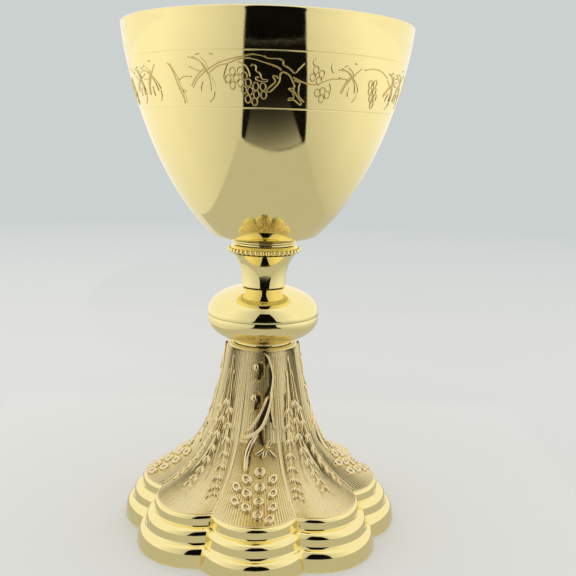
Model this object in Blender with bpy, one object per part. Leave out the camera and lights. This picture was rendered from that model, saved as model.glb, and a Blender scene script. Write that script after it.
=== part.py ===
"""Communion chalice: a gilt cup on a round knob and a fluted stem with an eight-lobed stepped foot.

Metres, +Z up. The origin is on the axis, on the plane that the foot stands on, and one lobe of
the foot faces -Y. Every piece is a body of its own, and 0.3 mm is left where two pieces touch.
"""
import math

import bmesh
import bpy

MM = 0.001
GAP = 0.3                    # left between touching pieces, mm
STEPS = 36                   # facets round a small turned piece

# Cup, mm: r = CUP_R * sqrt(1 - u ** CUP_POWER), u = (CUP_WIDEST_Z - z) / CUP_DEPTH
HEIGHT = 203.0
CUP_R = 56.7
CUP_WIDEST_Z = 205.0
CUP_DEPTH = 91.5
CUP_POWER = 1.46
CUP_BASE_R = 13.2
CUP_BASE_Z = 120.6
CUP_TURN_IN_Z = 122.3        # below this the bowl closes onto its flat base
CUP_WALL = 1.2
CUP_STEPS = 48

# Threaded tie rod and the boss that screws onto it, mm
ROD_R = 4.0
ROD_CLEAR_R = 4.4
BOSS_BORE_R = 4.3
ROD_TOP_Z = 117.6
ROD_BOTTOM_Z = 62.0
BOSS_R = 7.6
BOSS_BOTTOM_Z = 107.6        # 10 mm of thread is engaged
BOSS_BORE_TOP_Z = 118.6
FLANGE_R = 13.4
FLANGE_BOTTOM_Z = 119.6

# Loose seat ring and beaded collar, mm
SEAT_R = 12.7
SEAT_BOTTOM_Z = 118.6
RING_HOLE_R = 8.3
COLLAR_TOP_Z = 118.3
COLLAR_TOP_R = 13.1
COLLAR_BOTTOM_Z = 115.2
BEADS = 42
BEAD_Z = 116.4
BEAD_RING_R = 14.2
BEAD_R = 1.0

# Neck, mm: a trumpet that opens upward
NECK_BOTTOM_Z = 101.3
NECK_TOP_Z = 114.9
NECK_BOTTOM_R = 9.0
NECK_FLARE = 4.2
NECK_POWER = 2.6
NECK_WALL = 1.0
BUSH_TOP_Z = 104.8

# Knob, mm: two superelliptic half shells that meet on a seam
KNOB_R = 23.1
KNOB_SEAM_Z = 89.8
KNOB_UPPER_B = 11.8
KNOB_LOWER_B = 11.5
KNOB_UPPER_POWER = 2.2
KNOB_LOWER_POWER = 2.5
KNOB_TOP_R = 9.4
KNOB_MOUTH_R = 7.4
KNOB_SKIRT_R = 12.3
KNOB_BOTTOM_Z = 77.9
KNOB_WALL = 1.0
TUBE_R = 6.4

# Foot and stem, one shell, mm
STEM_TOP_Z = 77.6
STEM_SHOULDER_Z = 72.7
STEM_MOUTH_R = 10.6
TEXTURE_EDGE_Z = 18.3        # where the matt panels stop at the middle of a lobe
STEPS_OUTLINE = [(50.9, 13.8), (54.9, 7.9), (57.8, 0.0)]     # lower ends of the three polished steps
LOBES = 8
CREASE_AT_EDGE = 0.86        # radius in a crease over the radius of a lobe, at the texture edge
CREASE_AT_FLOOR = 0.895
FOOT_WALL = 1.2
FOOT_LIP = 1.8               # width of the flat edge that the foot stands on
FOOT_STEPS_PER_LOBE = 8      # even, so that a corner falls in every crease
CAP_THICK = 2.6
WASHER_THICK = 1.2
WASHER_R = 8.0
NUT_ACROSS_FLATS = 13.0
NUT_THICK = 6.5


def clear_scene():
    for item in list(bpy.data.objects):
        bpy.data.objects.remove(item)


def gilt(name, colour, roughness):
    """A Principled metal of the given colour."""
    material = bpy.data.materials.new(name)
    material.use_nodes = True
    shader = material.node_tree.nodes["Principled BSDF"]
    shader.inputs["Base Color"].default_value = (*colour, 1.0)
    shader.inputs["Metallic"].default_value = 1.0
    shader.inputs["Roughness"].default_value = roughness
    return material


def finish(name, bm, material, parent=None):
    """Turns a bmesh drawn in millimetres into a named object in metres, faces pointing out."""
    bmesh.ops.remove_doubles(bm, verts=bm.verts, dist=0.001)
    bmesh.ops.scale(bm, vec=(MM, MM, MM), verts=bm.verts)
    bmesh.ops.recalc_face_normals(bm, faces=bm.faces)
    mesh = bpy.data.meshes.new(name)
    bm.to_mesh(mesh)
    bm.free()
    mesh.shade_smooth()
    mesh.set_sharp_from_angle(angle=math.radians(35))
    mesh.materials.append(material)
    item = bpy.data.objects.new(name, mesh)
    bpy.context.scene.collection.objects.link(item)
    item.parent = parent
    return item


def turned(name, outline, material, steps=STEPS, parent=None):
    """Spins a closed outline of (radius, height) points about the axis."""
    bm = bmesh.new()
    points = [bm.verts.new((r, 0.0, z)) for r, z in outline]
    edges = [bm.edges.new(pair) for pair in zip(points, points[1:])]
    if outline[0][0] > 0.0 or outline[-1][0] > 0.0:
        edges.append(bm.edges.new((points[-1], points[0])))
    bmesh.ops.spin(
        bm, geom=points + edges, cent=(0, 0, 0), axis=(0, 0, 1), angle=math.tau, steps=steps, use_merge=True
    )
    return finish(name, bm, material, parent)


def ring(inner, outer, bottom, top):
    """The outline of a plain ring."""
    return [(inner, top), (outer, top), (outer, bottom), (inner, bottom)]


def lined(outer, wall):
    """The outer outline moved inward by the wall, square to itself, listed backward."""
    inner = []
    for i, (r, z) in enumerate(outer):
        r0, z0 = outer[max(i - 1, 0)]
        r1, z1 = outer[min(i + 1, len(outer) - 1)]
        length = math.hypot(r1 - r0, z1 - z0)
        inner.append((r + wall * (z1 - z0) / length, z - wall * (r1 - r0) / length))
    return inner[::-1]


def steps_between(start, stop, count):
    return [start + (stop - start) * i / count for i in range(count + 1)]


def cup_radius(z):
    u = (CUP_WIDEST_Z - z) / CUP_DEPTH
    return CUP_R * math.sqrt(1.0 - u ** CUP_POWER)


def make_cup(material, parent):
    """The bowl: a deep egg shape with a flat base, a thin wall and a lip that is flat on top."""
    heights = steps_between(HEIGHT, CUP_TURN_IN_Z, 10)
    outer = [(cup_radius(z), z) for z in heights]
    wall = outer + [(17.2, CUP_BASE_Z + 0.6), (CUP_BASE_R, CUP_BASE_Z)]
    inside = lined(outer, CUP_WALL)[:-1]
    floor_z = CUP_BASE_Z + 2.0
    lip = (outer[0][0] - CUP_WALL, HEIGHT)
    outline = wall + [(0.0, CUP_BASE_Z)], [(0.0, floor_z), (10.0, floor_z + 0.5)], inside, [lip]
    below, bottom, side, top = outline
    return turned("cup", below[::-1] + top + side[::-1] + bottom[::-1], material, CUP_STEPS, parent)


def make_cup_boss(material, parent):
    """Flange and threaded socket under the bowl, in one turned piece."""
    outline = [
        (0.0, CUP_BASE_Z - GAP), (FLANGE_R - 0.3, CUP_BASE_Z - GAP), (FLANGE_R, CUP_BASE_Z - GAP - 0.25),
        (FLANGE_R, FLANGE_BOTTOM_Z), (BOSS_R, FLANGE_BOTTOM_Z), (BOSS_R, BOSS_BOTTOM_Z),
        (BOSS_BORE_R, BOSS_BOTTOM_Z), (BOSS_BORE_R, BOSS_BORE_TOP_Z), (0.0, BOSS_BORE_TOP_Z),
    ]
    return turned("cup_boss", outline, material, STEPS, parent)


def make_beaded_collar(material):
    """A conical ring whose lower edge carries a row of beads, drawn as one body."""
    bm = bmesh.new()
    samples = 3 * BEADS
    rings = [
        (RING_HOLE_R, COLLAR_TOP_Z, 0.0), (COLLAR_TOP_R, COLLAR_TOP_Z, 0.0),
        (BEAD_RING_R - 0.3, BEAD_Z + BEAD_R, 0.0), (BEAD_RING_R, BEAD_Z + 0.6 * BEAD_R, 0.75),
        (BEAD_RING_R, BEAD_Z, 1.0), (BEAD_RING_R - 0.2, BEAD_Z - 0.7 * BEAD_R, 0.65),
        (BEAD_RING_R - 1.0, COLLAR_BOTTOM_Z, 0.0), (RING_HOLE_R, COLLAR_BOTTOM_Z, 0.0),
    ]
    rows = []
    for radius, z, swell in rings:
        row = []
        for i in range(samples):
            across = (i % 3) / 1.5 - 1.0          # -1 is the gap between two beads
            bulge = BEAD_R * swell * math.sqrt(1.0 - across * across)
            angle = math.tau * i / samples
            row.append(bm.verts.new(((radius + bulge) * math.cos(angle), (radius + bulge) * math.sin(angle), z)))
        rows.append(row)
    for upper, lower in zip(rows, rows[1:] + rows[:1]):
        for i in range(samples):
            j = (i + 1) % samples
            bm.faces.new((upper[i], upper[j], lower[j], lower[i]))
    return finish("beaded_collar", bm, material)


def make_neck(material):
    heights = steps_between(NECK_TOP_Z, NECK_BOTTOM_Z, 6)
    span = NECK_TOP_Z - NECK_BOTTOM_Z
    outer = [(NECK_BOTTOM_R + NECK_FLARE * ((z - NECK_BOTTOM_Z) / span) ** NECK_POWER, z) for z in heights]
    inner = [(r - NECK_WALL, z) for r, z in outer[::-1]]
    return turned("neck", outer + inner, material)


def knob_half(half_height, power, radii):
    """Points of one half of the knob, measured up or down from its seam."""
    points = []
    for r in radii:
        share = max(0.0, 1.0 - (r / KNOB_R) ** power)
        points.append((r, half_height * share ** (1.0 / power)))
    return points


def knob_radii(smallest, count=7):
    """Radii from the seam inward, closer together near the seam where the shape turns fastest."""
    return [smallest + (KNOB_R - smallest) * math.cos(math.pi / 2 * i / count) for i in range(count + 1)]


def make_knob_upper(material):
    half = knob_half(KNOB_UPPER_B, KNOB_UPPER_POWER, knob_radii(KNOB_TOP_R))
    outer = [(r, KNOB_SEAM_Z + GAP / 2 + h) for r, h in half]
    outer.append((KNOB_MOUTH_R, outer[-1][1] - 0.1))
    inner = [(r - KNOB_WALL, z) for r, z in outer[:1]]
    inner += [(r, z - KNOB_WALL * 1.1) for r, z in outer[3:]]
    return turned("knob_upper", outer + inner[::-1], material)


def make_knob_lower(material):
    half = knob_half(KNOB_LOWER_B, KNOB_LOWER_POWER, knob_radii(KNOB_SKIRT_R + 0.5))
    outer = [(r, KNOB_SEAM_Z - GAP / 2 - h) for r, h in half]
    outer += [(KNOB_SKIRT_R, KNOB_BOTTOM_Z + 1.2), (KNOB_SKIRT_R, KNOB_BOTTOM_Z)]
    inner = [(KNOB_R - KNOB_WALL, outer[0][1])]
    inner += [(r, z + KNOB_WALL * 1.1) for r, z in outer[3:8]]
    inner.append((KNOB_SKIRT_R - KNOB_WALL, KNOB_BOTTOM_Z))
    return turned("knob_lower", outer + inner[::-1], material)


def stem_radius(z):
    """Radius of the stem's sweep at the middle of a lobe: slim at the top, fast out at the foot."""
    t = (STEM_TOP_Z - z) / (STEM_TOP_Z - TEXTURE_EDGE_Z)
    return 14.6 + 9.0 * t + 5.5 * t ** 2 + 20.1 * t ** 6


def step(start, stop, count):
    """A rounded step, a quarter ellipse from level at the start to upright at the stop."""
    (r0, z0), (r1, z1) = start, stop
    turns = [math.pi / 2 * i / count for i in range(1, count + 1)]
    return [(r0 + (r1 - r0) * math.sin(a), z1 + (z0 - z1) * math.cos(a)) for a in turns]


def stem_profile():
    """Outer outline at the middle of a lobe, from the stem's shoulder to the texture edge."""
    heights = (STEM_SHOULDER_Z, 65.0, 56.0, 47.0, 39.0, 33.0, 28.5, 24.5, 21.2, TEXTURE_EDGE_Z)
    return [(stem_radius(z), z) for z in heights]


def crease_share(z):
    """Radius in the crease between two lobes as a share of the radius at a lobe's middle."""
    if z > TEXTURE_EDGE_Z:
        t = max(0.0, (STEM_SHOULDER_Z - z) / (STEM_SHOULDER_Z - TEXTURE_EDGE_Z))
        return 1.0 - (1.0 - CREASE_AT_EDGE) * t ** 2.5
    t = (TEXTURE_EDGE_Z - z) / TEXTURE_EDGE_Z
    return CREASE_AT_EDGE + (CREASE_AT_FLOOR - CREASE_AT_EDGE) * t ** 1.5


def lobed(angle, share):
    """Unit outline of LOBES equal arcs that meet in creases at the given share of the radius."""
    half = math.pi / LOBES
    local = (angle + half) % (2 * half) - half
    chord = share * math.sin(half)
    rise = 1.0 - share * math.cos(half)
    arc = (chord ** 2 + rise ** 2) / (2 * rise)
    centre = 1.0 - arc
    return centre * math.cos(local) + math.sqrt(arc ** 2 - (centre * math.sin(local)) ** 2)


def make_foot_shell(material):
    """Stem and foot in one thin shell, open below, with a flat lip to stand on."""
    stem = stem_profile()
    outer = [(STEM_MOUTH_R, STEM_TOP_Z), (12.4, STEM_TOP_Z), (13.9, STEM_TOP_Z - 1.2), (14.9, STEM_TOP_Z - 3.0)]
    outer += stem
    for stop in STEPS_OUTLINE:
        outer += step(outer[-1], stop, 3)
    inner = lined(stem + STEPS_OUTLINE, FOOT_WALL)[1:]
    inner = [(outer[-1][0] - FOOT_LIP, 0.0)] + inner + [(STEM_MOUTH_R, STEM_TOP_Z - 3.2)]
    rows = []
    bm = bmesh.new()
    count = LOBES * FOOT_STEPS_PER_LOBE
    for r, z in outer + inner:
        share = crease_share(z)
        row = []
        for i in range(count):
            angle = math.tau * i / count
            radius = r * lobed(angle, share)
            row.append(bm.verts.new((radius * math.sin(angle), -radius * math.cos(angle), z)))
        rows.append(row)
    for upper, lower in zip(rows, rows[1:] + rows[:1]):
        for i in range(count):
            j = (i + 1) % count
            bm.faces.new((upper[i], upper[j], lower[j], lower[i]))
    return finish("foot_shell", bm, material)


def make_hex_nut(material, top):
    """A plain hexagon nut with its hole, under the washer."""
    bm = bmesh.new()
    corner = NUT_ACROSS_FLATS / math.sqrt(3.0)
    sides = 24
    rows = []
    for z in (top, top - NUT_THICK):
        hexagon, hole = [], []
        for i in range(sides):
            angle = math.tau * i / sides
            local = (angle + math.pi / 6) % (math.pi / 3) - math.pi / 6
            radius = NUT_ACROSS_FLATS / 2 / math.cos(math.pi / 6 - abs(local))
            radius = min(radius, corner)
            hexagon.append(bm.verts.new((radius * math.cos(angle), radius * math.sin(angle), z)))
            hole.append(bm.verts.new((ROD_CLEAR_R * math.cos(angle), ROD_CLEAR_R * math.sin(angle), z)))
        rows.append((hexagon, hole))
    (hexagon, hole), (hexagon_below, hole_below) = rows
    loops = [hole, hexagon, hexagon_below, hole_below]
    for upper, lower in zip(loops, loops[1:] + loops[:1]):
        for i in range(sides):
            j = (i + 1) % sides
            bm.faces.new((upper[i], upper[j], lower[j], lower[i]))
    return finish("hex_nut", bm, material)


def main():
    clear_scene()
    pale_gold = gilt("polished_gilt", (0.86, 0.72, 0.36), 0.08)
    warm_gold = gilt("warm_gilt", (0.88, 0.66, 0.28), 0.1)
    matt_gold = gilt("matt_gilt", (0.66, 0.54, 0.30), 0.38)
    brass = gilt("turned_brass", (0.72, 0.55, 0.25), 0.3)
    steel = gilt("zinced_steel", (0.62, 0.62, 0.60), 0.35)

    turning_axis = bpy.data.objects.new("cup_axis", None)
    bpy.context.scene.collection.objects.link(turning_axis)

    make_cup(pale_gold, turning_axis)
    make_cup_boss(warm_gold, turning_axis)
    seat = ring(RING_HOLE_R, SEAT_R, SEAT_BOTTOM_Z, FLANGE_BOTTOM_Z - GAP)
    turned("cup_seat_ring", seat, warm_gold, STEPS, turning_axis)

    make_beaded_collar(pale_gold)
    make_neck(pale_gold)
    turned("neck_bush", ring(ROD_CLEAR_R, NECK_BOTTOM_R - NECK_WALL - GAP, NECK_BOTTOM_Z, BUSH_TOP_Z), brass)
    make_knob_upper(pale_gold)
    make_knob_lower(pale_gold)
    turned("knob_tube", ring(ROD_CLEAR_R, TUBE_R, STEM_TOP_Z + GAP, NECK_BOTTOM_Z - GAP), brass)

    make_foot_shell(matt_gold)
    cap_bottom = STEM_TOP_Z - CAP_THICK
    turned("stem_cap", ring(ROD_CLEAR_R, STEM_MOUTH_R - GAP, cap_bottom, STEM_TOP_Z), brass)
    washer_bottom = cap_bottom - GAP - WASHER_THICK
    turned("washer", ring(ROD_CLEAR_R, WASHER_R, washer_bottom, cap_bottom - GAP), steel)
    make_hex_nut(steel, washer_bottom - GAP)
    rod = [(0.0, ROD_TOP_Z), (ROD_R - 0.6, ROD_TOP_Z), (ROD_R, ROD_TOP_Z - 0.6), (ROD_R, ROD_BOTTOM_Z + 0.6),
           (ROD_R - 0.6, ROD_BOTTOM_Z), (0.0, ROD_BOTTOM_Z)]
    turned("tie_rod", rod, steel, 24)


main()
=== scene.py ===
"""Communion chalice, the finished look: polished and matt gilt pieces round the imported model.

Metres, +Z up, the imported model's own frame. Lengths in the constants are in millimetres.
"""

from functools import partial
from math import atan2, cos, hypot, pi, radians, sin, sqrt, tau

import bmesh
import bpy
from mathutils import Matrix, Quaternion, Vector


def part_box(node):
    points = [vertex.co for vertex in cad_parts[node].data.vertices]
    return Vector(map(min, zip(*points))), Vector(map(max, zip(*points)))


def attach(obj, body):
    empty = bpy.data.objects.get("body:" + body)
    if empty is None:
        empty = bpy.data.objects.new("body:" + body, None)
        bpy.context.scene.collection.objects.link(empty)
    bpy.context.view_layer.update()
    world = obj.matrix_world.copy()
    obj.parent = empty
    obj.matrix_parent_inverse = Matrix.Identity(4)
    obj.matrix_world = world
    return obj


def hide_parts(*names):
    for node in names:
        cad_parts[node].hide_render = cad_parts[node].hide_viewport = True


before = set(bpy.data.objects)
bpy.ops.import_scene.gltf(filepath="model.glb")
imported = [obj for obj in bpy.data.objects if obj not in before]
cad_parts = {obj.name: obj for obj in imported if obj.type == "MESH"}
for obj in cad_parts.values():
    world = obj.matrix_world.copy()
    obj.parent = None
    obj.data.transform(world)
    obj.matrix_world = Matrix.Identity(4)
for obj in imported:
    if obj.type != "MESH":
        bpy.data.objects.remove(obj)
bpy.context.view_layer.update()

MM = 0.001
ROUND = 160                 # facets round a turned piece

# Bowl: r = CUP_R * sqrt(1 - u ** CUP_POWER), u = (CUP_WIDEST_Z - z) / CUP_DEPTH
CUP_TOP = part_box("cup")[1][2] / MM
CUP_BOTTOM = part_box("cup")[0][2] / MM
CUP_R = 56.7
CUP_WIDEST_Z = CUP_TOP + 2.0
CUP_DEPTH = 91.5
CUP_POWER = 1.46
CUP_TURN_IN_Z = CUP_BOTTOM + 1.7
CUP_WALL = 1.2
CUP_FLOOR = 2.0
LIP_HEIGHT = 0.8            # the rolled lip above the straight wall
CUP_FACETS = 224
LINE_UPPER_Z = CUP_TOP - 13.8
LINE_LOWER_Z = CUP_TOP - 32.2
LINE_HALF_WIDTH = 0.22
LINE_DEPTH = 0.16
FRIEZE_Z = (LINE_UPPER_Z + LINE_LOWER_Z) / 2
FRIEZE_REPEATS = 3
FRIEZE_LINE = 0.24          # radius of an engraved line's raised burr

# Knob
KNOB_R = 23.1
KNOB_UPPER = (11.8, 2.2)    # half height and power of the superellipse
KNOB_LOWER = (11.5, 2.5)
KNOB_WALL = 1.1
KNOB_POINTS = 26
SEAM_GAP = 0.07             # half the gap between the two shells

# Stem and foot: radius at the middle of a lobe as a power series in t, 0 at the top, 1 at the panels' end
LOBES = 8
LOBE_TURN = tau / LOBES
LOBE_FACETS = 28
STEM_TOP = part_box("foot_shell")[1][2] / MM
PANEL_END_Z = 18.3
PANEL_FALL = STEM_TOP - PANEL_END_Z
STEM_SERIES = ((0, 14.6), (1, 9.0), (2, 5.5), (6, 20.1))
STEPS_OUTLINE = ((50.9, 13.8), (54.9, 7.9), (57.8, 0.0))
CREASE_AT_EDGE = 0.86       # radius in a crease over the radius of a lobe
CREASE_AT_FLOOR = 0.895
CREASE_POWER = 2.5
CREASE_UNDER_POWER = 1.5
CREASE_START_Z = STEM_TOP - 4.9
STEP_SHAPE = ((0.0, 0.0), (0.35, 0.06), (0.62, 0.17), (0.78, 0.33), (0.84, 0.55), (0.86, 0.75), (0.90, 0.90),
              (1.0, 1.0))
BASE_SHAPE = ((0.0, 0.0), (0.40, 0.05), (0.70, 0.15), (0.88, 0.32), (0.97, 0.55), (1.0, 0.80), (1.0, 1.0))
FOOT_WALL = 1.2
FOOT_LIP = 1.8
STEM_HOLE_R = 10.6

# Hatching on the panels: ribs in a panel and the station where they start, for each set
HATCHING = ((16, 0.014), (15, 0.62))
RIBS_ACROSS = 16            # ribs that fill a whole lobe
RIB_HALF_WIDTH = 0.27
RIB_PROUD = 1.15            # height of a rib over its half width
RIB_END = 0.998
RIB_POINTS = 26

# Collar and neck
COLLAR_HOLE_R = 8.3
BEADS = 42
BEAD_R = 1.02
BEAD_RING_R = 14.15
BEAD_RISE = 1.2             # bead's middle above the collar's lower face
NECK_R = 9.0
NECK_FLARE = 4.2
NECK_POWER = 2.6
NECK_WALL = 1.0

# Fasteners
ROD_HOLE_R = 4.4
THREAD_PITCH = 1.25


# ---- outlines

def smooth_line(points, per_span=8):
    """Catmull-Rom curve through the points."""
    ends = [points[0]] + list(points) + [points[-1]]
    line = []
    for a, b, c, d in zip(ends, ends[1:], ends[2:], ends[3:]):
        for i in range(per_span):
            s = i / per_span
            line.append(tuple(
                0.5 * (2 * q + (r - p) * s
                       + (2 * p - 5 * q + 4 * r - t) * s * s
                       + (3 * q - p - 3 * r + t) * s ** 3)
                for p, q, r, t in zip(a, b, c, d)
            ))
    line.append(tuple(points[-1]))
    return line


def eased(outline, radius, segments=4):
    """A closed outline with every corner rounded; corners on the axis stay."""
    count = len(outline)
    result = []
    for i, here in enumerate(outline):
        if here[0] <= 0.0:
            result.append(here)
            continue
        here = Vector(here)
        back = Vector(outline[i - 1]) - here
        ahead = Vector(outline[(i + 1) % count]) - here
        reach = min(radius, 0.45 * back.length, 0.45 * ahead.length)
        start = here + back.normalized() * reach
        stop = here + ahead.normalized() * reach
        for k in range(segments + 1):
            s = k / segments
            point = start * (1 - s) ** 2 + here * (2 * s * (1 - s)) + stop * s * s
            result.append(tuple(point))
    return result


def lined(outer, wall):
    """The outer outline moved inward by the wall, square to itself, listed backward."""
    inner = []
    for i, (r, z) in enumerate(outer):
        r0, z0 = outer[max(i - 1, 0)]
        r1, z1 = outer[min(i + 1, len(outer) - 1)]
        length = hypot(r1 - r0, z1 - z0)
        inner.append((r + wall * (z1 - z0) / length, z - wall * (r1 - r0) / length))
    return inner[::-1]


def spread(start, stop, count):
    return [start + (stop - start) * i / count for i in range(count + 1)]


def extent(node):
    """Outer radius, top and bottom of a CAD node, in millimetres."""
    low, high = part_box(node)
    return high[0] / MM, high[2] / MM, low[2] / MM


# ---- meshes

def in_scene(name, data):
    """A new object of the given mesh or camera."""
    item = bpy.data.objects.new(name, data)
    bpy.context.scene.collection.objects.link(item)
    return item


def to_object(name, bm, sharp=40):
    """A bmesh in metres becomes a named piece with its faces pointing out."""
    bmesh.ops.remove_doubles(bm, verts=bm.verts, dist=1e-7)
    bmesh.ops.recalc_face_normals(bm, faces=bm.faces)
    mesh = bpy.data.meshes.new(name)
    bm.to_mesh(mesh)
    bm.free()
    mesh.shade_smooth()
    mesh.set_sharp_from_angle(angle=radians(sharp))
    return in_scene(name, mesh)


def turned(name, outline, steps=ROUND, sharp=40):
    """Spins a closed outline of (radius, height) points, in millimetres, about the axis."""
    bm = bmesh.new()
    rows = []
    for r, z in outline:
        if r <= 0.0:
            rows.append([bm.verts.new((0.0, 0.0, z * MM))] * steps)
            continue
        angles = [tau * i / steps for i in range(steps)]
        rows.append([bm.verts.new((r * MM * sin(a), -r * MM * cos(a), z * MM)) for a in angles])
    closed = outline[0][0] > 0.0 or outline[-1][0] > 0.0
    pairs = list(zip(rows, rows[1:])) + ([(rows[-1], rows[0])] if closed else [])
    for upper, lower in pairs:
        for i in range(steps):
            j = (i + 1) % steps
            corners = [upper[i], upper[j], lower[j], lower[i]]
            unique = [v for k, v in enumerate(corners) if v not in corners[:k]]
            if len(unique) > 2:
                bm.faces.new(unique)
    return to_object(name, bm, sharp)


# ---- geometry nodes

def add_node(tree, kind, inputs=(), **settings):
    """Adds a node, sets its properties, and fills its inputs by name or index with numbers or sockets."""
    made = tree.nodes.new(kind)
    for key, value in settings.items():
        setattr(made, key, value)
    for key, value in inputs.items() if isinstance(inputs, dict) else enumerate(inputs):
        if isinstance(value, bpy.types.NodeSocket):
            tree.links.new(value, made.inputs[key])
        else:
            made.inputs[key].default_value = value
    return made


SIGNS = {"+": "ADD", "-": "SUBTRACT", "*": "MULTIPLY", "/": "DIVIDE"}


def add_math(tree, operation, *values):
    """Adds a math node, named by a sign or by its operation, and returns its result."""
    return add_node(tree, "ShaderNodeMath", values, operation=SIGNS.get(operation, operation)).outputs[0]


class Tree:
    """A Geometry Nodes tree under construction. A value may be a number or an output socket."""

    def __init__(self, name):
        self.group = bpy.data.node_groups.new(name, "GeometryNodeTree")
        self.group.interface.new_socket("Geometry", in_out="INPUT", socket_type="NodeSocketGeometry")
        self.group.interface.new_socket("Geometry", in_out="OUTPUT", socket_type="NodeSocketGeometry")
        self.start = self.group.nodes.new("NodeGroupInput")
        self.stop = self.group.nodes.new("NodeGroupOutput")
        self.sizes = {}

    @property
    def source(self):
        return self.start.outputs["Geometry"]

    @property
    def position(self):
        return self.axes(self.node("GeometryNodeInputPosition").outputs[0])

    @property
    def index(self):
        return self.node("GeometryNodeInputIndex").outputs[0]

    def size(self, name, value):
        """A named input of the tree, in metres or plain numbers."""
        kind = "NodeSocketInt" if isinstance(value, int) else "NodeSocketFloat"
        socket = self.group.interface.new_socket(name, in_out="INPUT", socket_type=kind)
        self.sizes[socket.identifier] = value
        return self.start.outputs[name]

    def take(self, **sizes):
        """Several named inputs at once."""
        return [self.size(name.replace("_", " ").capitalize(), value) for name, value in sizes.items()]

    def node(self, kind, inputs=(), **settings):
        return add_node(self.group, kind, inputs, **settings)

    def math(self, operation, *values):
        return add_math(self.group, operation, *values)

    def axes(self, vector):
        return self.node("ShaderNodeSeparateXYZ", (vector,)).outputs

    def point(self, x, y, z):
        return self.node("ShaderNodeCombineXYZ", (x, y, z)).outputs[0]

    def place(self, geometry, x, y, z):
        """Moves every point to the given coordinates."""
        where = self.point(x, y, z)
        return self.node("GeometryNodeSetPosition", {"Geometry": geometry, "Position": where}).outputs[0]

    def polar(self, geometry, radius, angle, height):
        """Moves every point to a radius, an angle from the front and a height."""
        across = self.math("*", radius, self.math("SINE", angle))
        back = self.math("*", self.math("*", radius, self.math("COSINE", angle)), -1.0)
        return self.place(geometry, across, back, height)

    def copies(self, geometry, count, rotation=None):
        """Instances of the geometry on count points, all at the origin."""
        line = self.node("GeometryNodeMeshLine", {"Count": count, "Offset": (0.0, 0.0, 0.0)}).outputs[0]
        inputs = {"Points": line, "Instance": geometry}
        if rotation is not None:
            inputs["Rotation"] = rotation
        return self.node("GeometryNodeInstanceOnPoints", inputs).outputs[0]

    def wire(self, edges, sides, radius):
        """Sweeps a round section along the edges and closes its ends."""
        curve = self.node("GeometryNodeMeshToCurve", {"Mesh": edges}).outputs[0]
        section = self.node("GeometryNodeCurvePrimitiveCircle", {"Resolution": sides, "Radius": radius}).outputs[0]
        inputs = {"Curve": curve, "Profile Curve": section, "Fill Caps": True}
        return self.node("GeometryNodeCurveToMesh", inputs).outputs[0]

    def around(self, geometry, count, turn):
        """Copies the geometry to count places round the axis, turn radians apart."""
        spin = self.point(0.0, 0.0, self.math("*", self.index, turn))
        ring = self.copies(geometry, count, spin)
        return self.node("GeometryNodeRealizeInstances", (ring,)).outputs[0]

    def finish(self, geometry, material):
        """Ends the tree in Realize Instances and Set Material."""
        whole = self.node("GeometryNodeRealizeInstances", (geometry,)).outputs[0]
        painted = self.node("GeometryNodeSetMaterial", {"Geometry": whole, "Material": material}).outputs[0]
        self.group.links.new(painted, self.stop.inputs["Geometry"])


def grown(name, source, tree, material, sharp=40):
    """Runs the tree on the source object and returns its result as a plain piece."""
    modifier = source.modifiers.new(tree.group.name, "NODES")
    modifier.node_group = tree.group
    for identifier, value in tree.sizes.items():
        modifier[identifier] = value
    evaluated = source.evaluated_get(bpy.context.evaluated_depsgraph_get())
    mesh = bpy.data.meshes.new_from_object(evaluated)
    source.modifiers.remove(modifier)
    bpy.data.objects.remove(source)
    bm = bmesh.new()
    bm.from_mesh(mesh)
    bpy.data.meshes.remove(mesh)
    piece = to_object(name, bm, sharp)
    piece.data.materials.append(material)
    return piece


def seed_object(name, verts=(), edges=(), faces=()):
    """A bare mesh that a tree starts from."""
    mesh = bpy.data.meshes.new(name)
    mesh.from_pydata(list(verts), list(edges), list(faces))
    return in_scene(name, mesh)


# ---- materials

def paint(material):
    """The material's tree, its shader and a helper that adds a linked node."""
    material.use_nodes = True
    tree = material.node_tree
    return tree, tree.nodes["Principled BSDF"], partial(add_node, tree)


CLOUD_SCALE = 60.0                      # drift of the tone over the metal
HAIRLINES = (300.0, 300.0, 9000.0)      # scale of the polishing lines: long round the axis, fine along it
HAIR_STRENGTH = 0.25
HAIR_DEPTH = 0.00001
GRAIN_SCALE = 2500.0
GRAIN_DEPTH = 0.00006


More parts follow.
